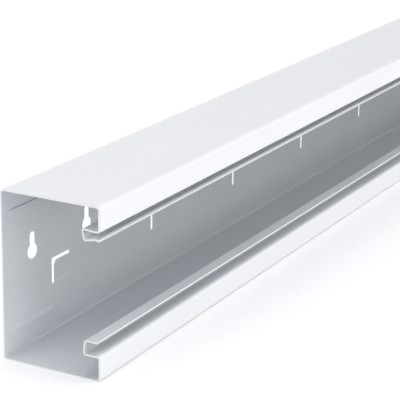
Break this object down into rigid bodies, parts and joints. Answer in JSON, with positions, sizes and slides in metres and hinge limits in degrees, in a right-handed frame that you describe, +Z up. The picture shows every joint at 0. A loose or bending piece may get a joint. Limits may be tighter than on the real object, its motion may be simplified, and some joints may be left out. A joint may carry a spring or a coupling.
{
  "type": "cable trunking",
  "caption": "Folded sheet-steel trunking base with an open front, cover grooves behind its lips and a keyholed back wall, for cables and wiring devices.",
  "frame": {"origin": "underside, at the middle of the length and of the depth", "axes": "+X along the length, +Y out of the back wall towards the building's wall, +Z up"},
  "size_m": [2, 0.07, 0.11],
  "materials": {
    "white_powder_coat": "satin powder coat, fine orange peel"
  },
  "bodies": {
    "root": {"trunking_base": "white_powder_coat"}
  },
  "joints": []
}
